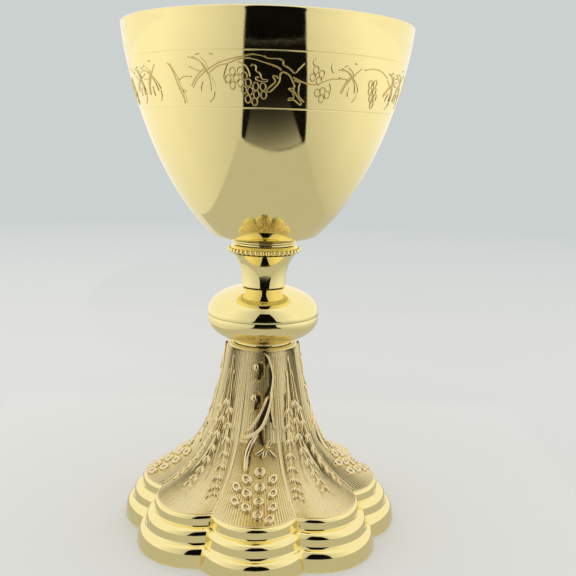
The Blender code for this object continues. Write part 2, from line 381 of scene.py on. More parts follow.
def gilt(name, colour, deep, rough, hazy, grain=0.0, worn=0.0):
    """Metal: tone drifts between two colours, haze clouds the gloss, hairlines and grain in the bump."""
    material = bpy.data.materials.new(name)
    tree, shader, add = paint(material)
    shader.inputs["Metallic"].default_value = 1.0
    place = add("ShaderNodeTexCoord").outputs["Object"]
    drift = add("ShaderNodeTexNoise", {"Vector": place, "Scale": CLOUD_SCALE, "Detail": 3.0}).outputs[0]
    tone = add("ShaderNodeMix", {0: drift, 6: (*colour, 1), 7: (*deep, 1)}, data_type="RGBA").outputs[2]
    if worn:
        ridge = add("ShaderNodeNewGeometry").outputs["Pointiness"]
        proud = add("ShaderNodeMapRange", {"Value": ridge, "From Min": 0.44, "From Max": 0.56}).outputs[0]
        dull = tuple(c * (1.0 - worn) for c in deep)
        tone = add("ShaderNodeMix", {0: proud, 6: (*dull, 1), 7: tone}, data_type="RGBA").outputs[2]
    tree.links.new(tone, shader.inputs["Base Color"])
    smear = add("ShaderNodeTexNoise", {
        "Vector": place, "Scale": CLOUD_SCALE * 2.3, "Detail": 6.0, "Roughness": 0.65,
    })
    gloss = add("ShaderNodeMapRange", {
        "Value": smear.outputs[0], "From Min": 0.35, "From Max": 0.75, "To Min": rough, "To Max": hazy,
    })
    tree.links.new(gloss.outputs[0], shader.inputs["Roughness"])
    stretched = add("ShaderNodeMapping", {"Vector": place, "Scale": HAIRLINES}).outputs[0]
    scratch = add("ShaderNodeTexNoise", {"Vector": stretched, "Scale": 1.0, "Detail": 2.0}).outputs[0]
    first = add("ShaderNodeBump", {"Strength": HAIR_STRENGTH, "Distance": HAIR_DEPTH, "Height": scratch})
    tree.links.new(first.outputs[0], shader.inputs["Normal"])
    if grain:
        speck = add("ShaderNodeTexNoise", {"Vector": place, "Scale": GRAIN_SCALE, "Detail": 4.0}).outputs[0]
        second = add("ShaderNodeBump", {
            "Strength": grain, "Distance": GRAIN_DEPTH, "Height": speck, "Normal": first.outputs[0],
        })
        tree.links.new(second.outputs[0], shader.inputs["Normal"])
    return material


def dress(piece, material, body, slot, *nodes):
    """Gives the piece its material and its body, and hides the CAD nodes that it stands for."""
    if not piece.data.materials:
        piece.data.materials.append(material)
    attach(piece, body)
    if nodes:
        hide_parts(*nodes)
    return piece


# ---- cup

def cup_radius(z):
    """Outer radius of the bowl at height z."""
    u = (CUP_WIDEST_Z - z) / CUP_DEPTH
    return CUP_R * sqrt(1.0 - u ** CUP_POWER)


def engraved_heights():
    """Heights down the bowl, closer together where a line is engraved."""
    heights = spread(CUP_TOP - LIP_HEIGHT, CUP_TURN_IN_Z, 60)
    for line in (LINE_UPPER_Z, LINE_LOWER_Z):
        heights = [z for z in heights if abs(z - line) > 2.5 * LINE_HALF_WIDTH]
        heights += [line + LINE_HALF_WIDTH * k / 2 for k in (-3, -2, -1, 0, 1, 2, 3)]
    return sorted(heights, reverse=True)


def cup_outline():
    """Outer wall with its engraved lines, turned-in bottom, floor, inner wall and lip."""
    outer = []
    for z in engraved_heights():
        cut = 0.0
        for line in (LINE_UPPER_Z, LINE_LOWER_Z):
            cut += LINE_DEPTH * max(0.0, 1.0 - ((z - line) / LINE_HALF_WIDTH) ** 2)
        outer.append((cup_radius(z) - cut, z))
    smooth = [(cup_radius(z), z) for z in spread(CUP_TOP - LIP_HEIGHT, CUP_TURN_IN_Z, 48)]
    inside = lined(smooth, CUP_WALL)
    half = CUP_WALL / 2
    middle = cup_radius(CUP_TOP) - half
    lip = [(middle - half * cos(a), CUP_TOP - half + half * sin(a))
           for a in spread(0.15, pi - 0.15, 10)]
    turn_in = smooth_line([outer[-1], (17.2, CUP_BOTTOM + 0.6), (13.2, CUP_BOTTOM)], 5)[1:]
    floor_z = CUP_BOTTOM + CUP_FLOOR
    floor = smooth_line([(0.01, floor_z), (8.0, floor_z + 0.25), inside[0]], 6)[1:-1]
    return outer + turn_in + [(0.0, CUP_BOTTOM), (0.0, floor_z)] + floor + inside + lip


def make_cup(material):
    outline = cup_outline()
    start = next(i for i, point in enumerate(outline) if point[0] <= 0.0)
    cup = turned("bowl", outline[start + 1:] + outline[:start + 1], CUP_FACETS, 50)
    dress(cup, material, "cup", "cup", "cup")


# ---- vine frieze, drawn flat in millimetres

# Open strokes of one repeat: x along the cup, y up from the middle of the band
STEM_STROKES = (
    ((-17.2, 3.0), (-15.7, 4.0), (-12.7, 5.4), (-8.6, 6.5), (-5.2, 7.2), (-2.0, 7.8), (0.9, 7.5), (2.8, 6.8),
     (6.1, 6.7), (7.7, 5.9), (7.8, 4.8), (9.8, 3.8), (11.6, 2.4), (13.2, 3.9), (14.7, 5.5)),
    ((-16.6, 2.2), (-13.6, 4.2), (-10.3, 4.9), (-6.6, 6.3), (-2.6, 6.6), (1.9, 5.4), (5.8, 4.1), (7.2, 3.1)),
    ((7.6, 2.7), (9.6, 1.9), (10.7, 0.6), (11.3, -0.6), (11.9, -1.6), (11.7, -2.9), (13.0, -4.8), (14.6, -6.7),
     (14.4, -7.7), (12.0, -6.1), (10.2, -6.3), (10.5, -5.5), (11.9, -5.4), (11.4, -3.6), (9.9, -2.6), (11.3, -2.3)),
    ((11.2, 1.0), (14.3, -0.3), (16.8, -0.9), (19.6, -0.9), (22.2, 0.1), (25.1, 1.1), (27.9, 1.2)),
    ((11.6, 0.1), (13.6, -0.6), (13.4, -1.9), (13.7, -4.8), (15.7, -6.7)),
    ((7.6, 2.4), (6.9, 1.8), (6.7, -0.5), (4.8, -2.8), (3.4, -3.8), (2.6, -3.2), (4.4, -1.5), (5.4, -0.5),
     (4.6, 1.1), (5.4, 1.4), (6.3, 0.5)),
    ((-2.7, 4.1), (-2.0, 4.7), (-1.0, 4.1), (-1.0, 2.8), (0.3, 1.9), (1.0, 0.3), (2.6, 0.1), (2.5, -0.5),
     (-0.4, -0.3), (-1.2, 0.6), (0.0, 0.8)),
    ((-10.3, 4.6), (-11.2, 2.8), (-11.9, 0.4), (-11.2, -1.6)),
    ((-6.8, 5.4), (-4.6, 4.4), (-3.4, 2.6), (-3.0, 0.8)),
    ((-33.6, 5.4), (-32.0, 3.7), (-30.9, 0.9), (-30.4, -1.1), (-29.6, -3.4), (-28.5, -6.1), (-28.4, -7.8)),
    ((-32.6, 5.2), (-31.2, 3.1), (-29.9, 0.9), (-29.3, -1.1), (-28.5, -3.6), (-27.5, -6.1), (-27.3, -7.8)),
    ((-29.7, -0.4), (-27.1, 0.9), (-23.8, 0.8)),
    ((-29.3, -2.7), (-26.9, -4.1)),
    ((18.3, 7.3), (17.4, 6.0), (18.3, 4.8)),
    ((24.2, 6.1), (24.1, 4.5), (25.2, 2.9)),
    ((24.2, -0.4), (25.0, -2.4), (24.7, -5.0)),
    ((38.0, 4.7), (42.2, 5.4), (46.7, 5.0), (51.9, 3.0)),
)
# Veins of the vine leaf, about its heart
LEAF_STROKES = (
    ((-6.1, 4.3), (-2.4, 3.1), (-0.1, 0.2), (1.3, -3.0), (1.4, -6.6)),
    ((-4.5, 4.5), (-1.4, 2.5), (0.6, -0.1), (2.7, -3.6), (3.2, -6.6)),
    ((-1.2, 4.1), (0.5, 2.1), (1.0, 0.5)),
    ((-0.2, -0.4), (-3.3, -2.7), (-5.6, -5.6)),
    ((-0.7, 0.3), (-3.6, -1.9), (-6.1, -4.9)),
    ((1.0, 0.2), (2.5, 1.2), (5.2, 2.6)),
    ((-6.2, 1.3), (-2.9, -0.1), (-0.9, -0.1)),
    ((-1.4, -3.6), (-2.3, -5.6), (-2.3, -7.2)),
    ((2.7, -6.9), (1.9, -8.9), (0.2, -10.2)),
    ((-3.2, 5.0), (-1.9, 5.2)),
    ((1.9, 5.2), (3.0, 5.0)),
)
# Centre, scale and turn of each leaf
LEAVES = (
    ((-18.2, 2.8), 1.0, 0.0), ((-43.9, 1.5), 0.88, 0.35), ((32.8, 1.9), 0.82, 0.25), ((57.2, 0.6), 0.80, -0.1),
)
GRAPES = (
    (-1.1, -2.1), (1.3, -2.2), (-5.2, -3.3), (-3.0, -3.6), (-0.9, -4.7), (1.6, -4.8), (-3.8, -6.2), (-1.5, -7.0),
    (-3.6, -1.0), (-8.8, 2.4), (-10.4, 0.1), (-7.6, 0.2), (-9.0, -2.0), (-6.3, -1.2), (-6.2, 2.6), (-4.9, 1.1),
    (18.8, 3.6), (17.9, 1.2), (20.2, 0.2), (21.0, 2.4), (22.1, -3.0), (22.0, -5.5), (24.0, -4.1), (20.2, -3.6),
    (42.3, 0.4), (44.8, 0.6), (43.0, -1.9), (45.5, -1.9), (44.4, -4.3), (46.7, -4.0), (45.9, -6.5),
)
GRAPE_HALF_WIDTH = 0.95
GRAPE_HALF_HEIGHT = 1.25


def frieze_art():
    """Open strokes and closed loops of one repeat."""
    strokes = [smooth_line(stroke, 3) for stroke in STEM_STROKES]
    for centre, scale, turn in LEAVES:
        c, s = scale * cos(turn), scale * sin(turn)
        for stroke in LEAF_STROKES:
            moved = [(centre[0] + x * c - y * s, centre[1] + x * s + y * c) for x, y in stroke]
            strokes.append(smooth_line(moved, 4))
    loops = [[(x + GRAPE_HALF_WIDTH * cos(a), y + GRAPE_HALF_HEIGHT * sin(a))
              for a in spread(0.0, tau, 12)[:-1]] for x, y in GRAPES]
    return strokes, loops


def make_frieze(material):
    """Every stroke swept to a fine wire, laid on the bowl and repeated round it."""
    strokes, loops = frieze_art()
    verts, edges = [], []
    for line, closed in [(s, False) for s in strokes] + [(s, True) for s in loops]:
        first = len(verts)
        verts += [(x * MM, y * MM, 0.0) for x, y in line]
        edges += [(first + i, first + i + 1) for i in range(len(line) - 1)]
        if closed:
            edges.append((len(verts) - 1, first))
    tree = Tree("vine_frieze")
    repeats, line_r, middle, widest, depth, cup_r, power = tree.take(
        repeats=FRIEZE_REPEATS, line_radius=FRIEZE_LINE * MM, middle_of_the_band=FRIEZE_Z * MM,
        cup_widest_height=CUP_WIDEST_Z * MM, cup_depth=CUP_DEPTH * MM, cup_radius=CUP_R * MM, cup_power=CUP_POWER)
    calc = tree.math
    wire = tree.wire(tree.source, 6, line_r)
    x, y, lift = tree.position
    height = calc("+", middle, y)

    def bowl_radius(z):
        u = calc("/", calc("-", widest, z), depth)
        return calc("*", cup_r, calc("SQRT", calc("-", 1.0, calc("POWER", u, power))))

    angle = calc("/", x, bowl_radius(middle))
    laid = tree.polar(wire, calc("+", bowl_radius(height), lift), angle, height)
    tree.finish(tree.around(laid, repeats, calc("/", tau, repeats)), material)
    frieze = grown("vine_frieze", seed_object("frieze_art", verts, edges), tree, material, 60)
    dress(frieze, material, "cup", "cup", "cup")


# ---- seat, collar, neck and knob

def make_boss(material):
    """The flange under the bowl and the barrel with its blind bore."""
    flange_r, top, bottom = extent("cup_boss")
    barrel_r, bore_r = 7.6, 4.3
    flange_low = top - 0.7
    bore_top = bottom + 11.0
    outline = [
        (0.0, top), (flange_r, top), (flange_r, flange_low), (barrel_r, flange_low), (barrel_r, bottom),
        (bore_r, bottom), (bore_r, bore_top), (0.0, bore_top),
    ]
    dress(turned("flange_and_boss", eased(outline, 0.3)), material, "cup", "cup_boss", "cup_boss")


def make_ring(name, node, hole, ease, material, body):
    """A plain turned ring that fills its node's box, with eased edges."""
    rim, top, bottom = extent(node)
    outline = [(hole, top), (rim, top), (rim, bottom), (hole, bottom)]
    dress(turned(name, eased(outline, ease)), material, body, node, node)


def make_collar(material):
    """The conical ring and its row of beads."""
    _, top, bottom = extent("beaded_collar")
    outline = [(COLLAR_HOLE_R, top), (13.1, top), (13.8, top - 1.0), (14.1, top - 1.5), (13.9, bottom + 0.6),
               (13.1, bottom), (COLLAR_HOLE_R, bottom)]
    dress(turned("collar_ring", eased(outline, 0.25)), material, "stand", "beaded_collar", "beaded_collar")

    tree = Tree("bead_row")
    count, radius, ring_r, height = tree.take(
        beads=BEADS, bead_radius=BEAD_R * MM, ring_radius=BEAD_RING_R * MM, height=(bottom + BEAD_RISE) * MM)
    bead = tree.node("GeometryNodeMeshUVSphere", {"Segments": 16, "Rings": 10, "Radius": radius}).outputs[0]
    front = tree.point(0.0, tree.math("*", ring_r, -1.0), height)
    moved = tree.node("GeometryNodeTransform", {"Geometry": bead, "Translation": front}).outputs[0]
    tree.finish(tree.around(moved, count, tree.math("/", tau, count)), material)
    dress(grown("bead_row", seed_object("beads"), tree, material), material, "stand", "beaded_collar")


def make_neck(material):
    """The polished trumpet, wide at the top."""
    _, top, bottom = extent("neck")
    outer = []
    for z in spread(top, bottom, 28):
        share = (z - bottom) / (top - bottom)
        outer.append((NECK_R + NECK_FLARE * share ** NECK_POWER, z))
    inner = [(r - NECK_WALL, z) for r, z in outer[::-1]]
    dress(turned("neck_trumpet", outer + inner), material, "stand", "neck", "neck")


def knob_points(shape, smallest, count=KNOB_POINTS):
    """Radius and height above the seam, from the widest line inward to the smallest radius."""
    half_height, power = shape
    points = []
    for i in range(count + 1):
        r = smallest + (KNOB_R - smallest) * cos(pi / 2 * i / count)
        points.append((r, half_height * max(0.0, 1.0 - (r / KNOB_R) ** power) ** (1 / power)))
    return points


def make_knob(material):
    """Two half shells that meet in a fine seam; each wall is bare for the first few points from it."""
    seam = (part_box("knob_upper")[0][2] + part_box("knob_lower")[1][2]) / 2 / MM
    edge, wall_r, bare = KNOB_R - 0.2, KNOB_R - 1.0, 6
    seam_top, seam_low = seam + SEAM_GAP, seam - SEAM_GAP
    upper = [(r, seam_top + h) for r, h in knob_points(KNOB_UPPER, 9.3)]
    upper = [(edge, seam_top)] + upper[1:] + [(7.4, upper[-1][1] - 0.1)]
    inner = [(wall_r, seam_top)] + [(r, z - KNOB_WALL) for r, z in upper[bare:]]
    dress(turned("knob_top", upper + inner[::-1]), material, "stand", "knob_upper", "knob_upper")
    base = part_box("knob_lower")[0][2] / MM
    lower = [(r, seam_low - h) for r, h in knob_points(KNOB_LOWER, 13.0)]
    skirt = smooth_line([lower[-1], (12.4, base + 1.1), (12.3, base)], 5)[1:]
    lower = [(edge, seam_low)] + lower[1:] + skirt
    shell = [(r, z + KNOB_WALL) for r, z in lower[bare:KNOB_POINTS + 1]]
    inner = [(wall_r, seam_low)] + shell + [(11.3, base)]
    dress(turned("knob_bottom", lower + inner[::-1]), material, "stand", "knob_lower", "knob_lower")


# ---- foot

def stem_radius(t):
    """Radius at the middle of a lobe, t down the panel."""
    return sum(factor * t ** power for power, factor in STEM_SERIES)


def stem_slope(t):
    return sum(power * factor * t ** (power - 1) for power, factor in STEM_SERIES if power)


def stem_stretch(t):
    """Millimetres down the surface for one unit of t."""
    return hypot(stem_slope(t), PANEL_FALL)


def step_down(start, stop, shape):
    """One rounded step; the shape gives shares of its run outward and of its fall."""
    (r0, z0), (r1, z1) = start, stop
    return smooth_line([(r0 + (r1 - r0) * out, z0 + (z1 - z0) * fall) for out, fall in shape], 4)[1:]


def foot_profile():
    """Outer line of a lobe's middle from the stem's mouth over the panel and down the three steps."""
    shoulder = smooth_line(
        [(STEM_HOLE_R, STEM_TOP), (13.2, STEM_TOP), (14.1, STEM_TOP - 0.25), (14.6, STEM_TOP - 0.9)], 4)
    first = 1.8 / PANEL_FALL
    points = shoulder + [(stem_radius(t), STEM_TOP - t * PANEL_FALL) for t in spread(first, 1.0, 60)]
    for stop, shape in zip(STEPS_OUTLINE, (STEP_SHAPE, STEP_SHAPE, BASE_SHAPE)):
        points += step_down(points[-1], stop, shape)
    return points


def lobe_share(tree, angle, z):
    """Share of a lobe's full radius at this angle and height, from equal arcs that meet in creases."""
    calc = tree.math
    lobes, at_edge, at_floor, power, under_power, start, end = tree.take(
        lobes=float(LOBES), crease_at_panel_end=CREASE_AT_EDGE, crease_at_floor=CREASE_AT_FLOOR,
        crease_power=CREASE_POWER, crease_power_on_steps=CREASE_UNDER_POWER,
        crease_start_height=CREASE_START_Z * MM, panel_end_height=PANEL_END_Z * MM)
    half = calc("/", pi, lobes)
    local = calc("WRAP", angle, half, calc("*", half, -1.0))
    fall = calc("/", calc("-", start, z), calc("-", start, end))
    fall = calc("MINIMUM", calc("MAXIMUM", fall, 0.0), 1.0)
    under = calc("MAXIMUM", calc("/", calc("-", end, z), end), 0.0)
    deepened = calc("*", calc("-", 1.0, at_edge), calc("POWER", fall, power))
    filled = calc("*", calc("-", at_floor, at_edge), calc("POWER", under, under_power))
    share = calc("+", calc("-", 1.0, deepened), filled)
    chord = calc("*", share, calc("SINE", half))
    rise = calc("-", 1.0, calc("*", share, calc("COSINE", half)))
    square = calc("+", calc("*", chord, chord), calc("*", rise, rise))
    arc = calc("/", square, calc("*", 2.0, rise))
    centre = calc("-", 1.0, arc)
    side = calc("*", centre, calc("SINE", local))
    root = calc("SQRT", calc("-", calc("*", arc, arc), calc("*", side, side)))
    return calc("+", calc("*", centre, calc("COSINE", local)), root)


def make_foot(matt, bright):
    """Stem and foot in one shell, pressed from a round turning; panels matt, steps and inside polished."""
    outer = foot_profile()
    panel = [point for point in outer if PANEL_END_Z < point[1] < STEM_TOP - 1.0]
    inner = lined(panel + list(STEPS_OUTLINE), FOOT_WALL)
    inner = [(outer[-1][0] - FOOT_LIP, 0.0)] + inner[1:] + [(STEM_HOLE_R, STEM_TOP - 3.2)]
    source = turned("foot_turning", outer + inner, LOBES * LOBE_FACETS)
    tree = Tree("press_lobes")
    x, y, z = tree.position
    share = lobe_share(tree, tree.math("ARCTAN2", x, tree.math("*", y, -1.0)), z)
    pressed = tree.place(tree.source, tree.math("*", x, share), tree.math("*", y, share), z)
    tree.finish(pressed, matt)
    foot = grown("foot_and_stem", source, tree, matt, 50)
    foot.data.materials.append(bright)
    for face in foot.data.polygons:
        outward = face.normal.x * face.center.x + face.normal.y * face.center.y
        if face.center.z < PANEL_END_Z * MM or outward < 0.0:
            face.material_index = 1
    dress(foot, matt, "stand", "foot_shell", "foot_shell")


def wrap_on_stem(tree, geometry, x, station, lift, turn=0.0):
    """Lays flat art on the stem: x across from a panel's middle, station down it, lift off it."""
    calc = tree.math
    fall, top = tree.take(panel_height=PANEL_FALL * MM, stem_top=STEM_TOP * MM)
    radius, slope = 0.0, 0.0
    for power, factor in STEM_SERIES:
        size = tree.size("Stem term %d" % power, factor * MM)
        radius = calc("+", radius, calc("*", calc("POWER", station, float(power)), size))
        if power:
            steep = calc("*", size, float(power))
            slope = calc("+", slope, calc("*", calc("POWER", station, float(power - 1)), steep))
    length = calc("SQRT", calc("+", calc("*", fall, fall), calc("*", slope, slope)))
    surface_z = calc("-", top, calc("*", station, fall))
    angle = calc("+", calc("/", x, radius), turn)
    share = lobe_share(tree, angle, surface_z)
    out = calc("+", radius, calc("*", lift, calc("/", fall, length)))
    height = calc("+", surface_z, calc("*", lift, calc("/", slope, length)))
    return tree.polar(geometry, calc("*", out, share), angle, height)


def make_hatching(material):
    """Fine ribs down every panel; the second set fills the gaps where the first has spread apart."""
    for number, (ribs, first) in enumerate(HATCHING):
        tree = Tree("hatching_%d" % number)
        calc = tree.math
        panels, count, start, width, pitch = tree.take(
            panels=LOBES, ribs_in_a_panel=ribs, first_station=first, rib_half_width=RIB_HALF_WIDTH * MM,
            angle_between_ribs=LOBE_TURN / RIBS_ACROSS)
        step = calc("/", calc("-", RIB_END, start), RIB_POINTS - 1.0)
        line = tree.node("GeometryNodeMeshLine", {
            "Count": RIB_POINTS, "Start Location": tree.point(0.0, start, 0.0),
            "Offset": tree.point(0.0, step, 0.0),
        }).outputs[0]
        fan = tree.copies(tree.wire(line, 4, width), count)
        middle = calc("*", calc("-", count, 1.0), 0.5)
        bearing = calc("*", calc("-", tree.index, middle), pitch)
        marked = tree.node("GeometryNodeStoreNamedAttribute", {
            "Geometry": fan, "Name": "bearing", "Value": bearing,
        }, domain="INSTANCE", data_type="FLOAT").outputs[0]
        loose = tree.node("GeometryNodeRealizeInstances", (marked,)).outputs[0]
        stored = tree.node("GeometryNodeInputNamedAttribute", {"Name": "bearing"}, data_type="FLOAT").outputs[0]
        x, station, lift = tree.position
        laid = wrap_on_stem(tree, loose, x, station, calc("*", lift, RIB_PROUD), stored)
        tree.finish(tree.around(laid, panels, calc("/", tau, panels)), material)
        ribbed = grown("hatching_%d" % number, seed_object("rib"), tree, material, 30)
        dress(ribbed, material, "stand", "foot_shell", "foot_shell")


# ---- relief on the panels, drawn flat

# Cross-section of a stem or leaf: share of its half width, share of its height
STRAND_SECTION = ((-1.0, -0.12), (-0.86, 0.72), (-0.4, 1.0), (0.0, 1.0), (0.4, 1.0), (0.86, 0.72), (1.0, -0.12))


class Relief:
    """Flat art for the panels: x in millimetres from the middle, t down the panel, height off it."""

    def __init__(self):
        self.verts = []
        self.faces = []

    def loft(self, rings):
        """Joins rings of (x, t, height) points into one closed body."""
        size = len(rings[0])
        first = len(self.verts)
        for ring in rings:
            self.verts += [(x * MM, t, h * MM) for x, t, h in ring]
        for k in range(len(rings) - 1):
            for i in range(size):
                j = (i + 1) % size
                a, b = first + k * size, first + (k + 1) * size
                self.faces.append((a + i, a + j, b + j, b + i))
        self.faces.append(tuple(first + i for i in range(size)))
        last = first + (len(rings) - 1) * size
        self.faces.append(tuple(last + i for i in range(size))[::-1])

    def strand(self, points, width, height, taper=(0.25, 0.25), crease=0.0):
        """A stem or leaf along a line of (x, t) points; width may swell, crease presses in a midrib."""
        rings = []
        count = len(points)
        for i, (x, t) in enumerate(points):
            x0, t0 = points[max(i - 1, 0)]
            x1, t1 = points[min(i + 1, count - 1)]
            scale = stem_stretch(t)
            dx, dy = x1 - x0, (t1 - t0) * scale
            length = hypot(dx, dy)
            nx, ny = dy / length, -dx / length
            s = i / (count - 1)
            full = width(s) if callable(width) else width
            swell = min(1.0, taper[0] + 6.0 * s, taper[1] + 6.0 * (1.0 - s))
            w, h = full * swell / 2, height * (0.4 + 0.6 * swell)
            ring = []
            for across, rise in STRAND_SECTION:
                pressed = crease if across == 0.0 else 0.0
                ring.append((x + nx * w * across, t + ny * w * across / scale, h * (rise - pressed)))
            rings.append(ring)
        self.loft(rings)

    def dome(self, x, t, radius, profile, long=1.0, turn=0.0, steps=14):
        """A round or oval boss from (share of radius, height) pairs, lowest first."""
        scale = stem_stretch(t)
        rings = []
        for share, h in profile:
            ring = []
            for i in range(steps):
                a = tau * i / steps
                u, v = radius * share * cos(a), radius * long * share * sin(a)
                c, s = cos(turn), sin(turn)
                ring.append((x + u * c - v * s, t + (u * s + v * c) / scale, h))
            rings.append(ring)
        self.loft(rings)

    def lay(self, name, panels, turn, first, material):
        """Wraps the art on the stem, copied to every panel from the first one on, turn radians apart."""
        tree = Tree(name)
        count, apart, at = tree.take(panels=panels, angle_between_panels=turn, first_panel=first)
        x, station, lift = tree.position
        laid = wrap_on_stem(tree, tree.source, x, station, lift)
        ring = tree.around(laid, count, apart)
        turned_ring = tree.node("GeometryNodeTransform", {"Geometry": ring, "Rotation": tree.point(0.0, 0.0, at)})
        tree.finish(turned_ring.outputs[0], material)
        piece = grown(name, seed_object(name + "_art", self.verts, faces=self.faces), tree, material, 35)
        dress(piece, material, "stand", "foot_shell", "foot_shell")


# Outlines of a hollow-topped grape and a grain: share of the radius, height in millimetres
GRAPE_R = 2.25
GRAPE = ((1.0, -0.25), (1.02, 0.60), (0.97, 1.05), (0.86, 1.36), (0.68, 1.50), (0.50, 1.46), (0.36, 1.20),
         (0.28, 0.50), (0.15, 0.38), (0.04, 0.38))
SEED = ((1.0, -0.15), (0.95, 0.45), (0.76, 0.80), (0.42, 1.0), (0.05, 1.06))


def make_grape_panels(material):
    """The vine with its leaves, flower and bunch, on every second panel."""
    art = Relief()
    main = [(1.6, 0.02), (3.4, 0.06), (5.0, 0.14), (5.5, 0.20), (5.0, 0.28), (4.9, 0.34), (3.6, 0.43), (1.6, 0.51),
            (-1.4, 0.560), (-4.6, 0.588), (-7.0, 0.600)]
    art.strand(smooth_line(main, 6), lambda s: 0.9 + 0.9 * s, 0.95, (0.6, 0.1), 0.15)
    art.strand(smooth_line([(3.8, 0.30), (2.0, 0.375), (0.0, 0.45), (-2.6, 0.52), (-5.8, 0.568)], 6), 1.2, 0.9,
               (0.3, 0.1), 0.2)
    art.strand(smooth_line([(4.9, 0.34), (5.4, 0.42), (6.4, 0.50), (7.2, 0.545)], 6), 1.1, 0.85, (0.5, 0.1), 0.2)
    art.strand(smooth_line([(2.0, 0.52), (2.3, 0.58), (3.3, 0.64)], 6), 0.8, 0.8, (0.5, 0.4))
    for tip in ((5.2, 0.590), (-1.4, 0.690), (8.4, 0.728), (1.9, 0.712), (5.6, 0.650)):
        bend = ((3.1 + tip[0]) / 2 + 0.5, (0.64 + tip[1]) / 2 + 0.006)
        art.strand(smooth_line([(3.1, 0.64), bend, tip], 5), lambda s: 1.7 * sin(0.35 + 2.5 * s), 0.95,
                   (0.5, 0.05), 0.35)
    for hook in (((0.4, 0.080), (1.5, 0.125), (1.3, 0.178), (-0.7, 0.226)),
                 ((-0.2, 0.285), (0.9, 0.335), (0.1, 0.388), (-1.8, 0.436))):
        art.strand(smooth_line(hook, 6), 0.85, 0.95, (0.3, 0.2), 0.2)
    for x, t in ((-1.5, 0.122), (-2.1, 0.328)):
        art.dome(x, t, 1.15, SEED, 1.45, 0.15, 12)
        art.strand(smooth_line([(x + 0.3, t + 0.02), (x, t + 0.07), (x - 0.6, t + 0.105)], 6), 0.7, 0.7, (0.5, 0.2))
    for offset, wide in ((-2.1, 0.7), (0.0, 2.6), (1.7, 0.6)):
        leaf = [(0.2 + 0.3 * offset, 0.545), (-2.6 + 0.9 * offset, 0.63), (-4.0 + offset, 0.71),
                (-4.4 + 0.6 * offset, 0.79)]
        art.strand(smooth_line(leaf, 8), lambda s: wide * (0.45 + 0.55 * sin(pi * s)), 0.8, (0.3, 0.3), 0.3)
    bunch = ((-7.5, 0.862), (-7.7, 0.922), (-3.5, 0.818), (-3.1, 0.882), (-2.9, 0.938), (1.5, 0.779), (1.9, 0.853),
             (1.7, 0.912), (1.8, 0.961), (6.9, 0.820), (7.1, 0.884), (7.4, 0.939), (6.4, 0.979))
    for x, t in bunch:
        art.dome(x, t, GRAPE_R, GRAPE, steps=18)
    art.lay("grape_relief", LOBES // 2, 2 * LOBE_TURN, 0.0, material)


def make_shade_strands(material):
    """Painted shade: dark strands along the left of the vine, round its buds, leaf and flower, standing in for the
    dark reflections of the relief's steep sides.
    """
    art = Relief()
    # painted shade: each line becomes a dark strand where the relief shows a dark reflection
    shade_strokes = (
        (1.1, ((1.1, 0.010), (2.0, 0.022), (2.8, 0.050), (2.4, 0.110))),
        (0.9, ((4.1, 0.120), (4.6, 0.180), (4.2, 0.254), (2.1, 0.326))),
        (0.9, ((-0.6, 0.095), (0.4, 0.130), (0.0, 0.175), (-0.5, 0.204))),
        (0.8, ((-0.7, 0.305), (-0.2, 0.340), (-1.0, 0.376), (-1.6, 0.405))),
        (1.5, ((4.2, 0.333), (3.9, 0.376), (1.7, 0.447), (0.6, 0.503), (-1.6, 0.570))),
        (0.8, ((4.0, 0.390), (4.8, 0.447), (5.7, 0.490))),
        (0.8, ((0.9, 0.503), (1.0, 0.545), (1.2, 0.585))),
        (0.8, ((-1.4, 0.540), (-2.5, 0.605), (-3.1, 0.675), (-2.8, 0.763))),
        (0.8, ((0.7, 0.540), (1.7, 0.605), (2.7, 0.630))),
        (0.8, ((4.6, 0.605), (3.9, 0.628), (3.6, 0.655), (5.4, 0.683), (7.6, 0.718))),
        (0.7, ((2.4, 0.655), (2.2, 0.680), (1.6, 0.704))),
    )
    for wide, line in shade_strokes:
        art.strand(smooth_line(line, 7), 1.2 * wide, 0.62, (0.25, 0.15))
    art.lay("painted_shade_lines", LOBES // 2, 2 * LOBE_TURN, 0.0, material)


GRAIN_LEAN = 0.42           # radians between a grain and its stalk
GRAIN_OUT = 1.35            # millimetres from the stalk to a grain's middle


def wheat_ear(art, line, grains):
    """A stalk that follows the line, with pairs of grains and their awns toward its far end."""
    path = smooth_line(line, 10)
    art.strand(path, 0.80, 0.75, (0.6, 0.2))
    for k in range(grains):
        i = len(path) - 2 - k * 4
        (x0, t0), (x1, t1) = path[i - 2], path[i]
        scale = stem_stretch(t1)
        heading = atan2((t1 - t0) * scale, x1 - x0)
        for side in (-1, 1):
            lean = heading + side * GRAIN_LEAN
            cx = x1 + GRAIN_OUT * cos(lean + side * 0.5)
            ct = t1 + GRAIN_OUT * sin(lean + side * 0.5) / scale
            art.dome(cx, ct, 0.80, SEED, 2.6, lean - pi / 2, 10)
            reach = 4.4 if k == 0 else 3.0
            far = (cx + reach * cos(lean), ct + reach * sin(lean) / scale)
            if far[1] < 0.992:
                art.strand([(cx, ct), ((cx + far[0]) / 2, (ct + far[1]) / 2), far], 0.34, 0.35, (0.5, 0.2))


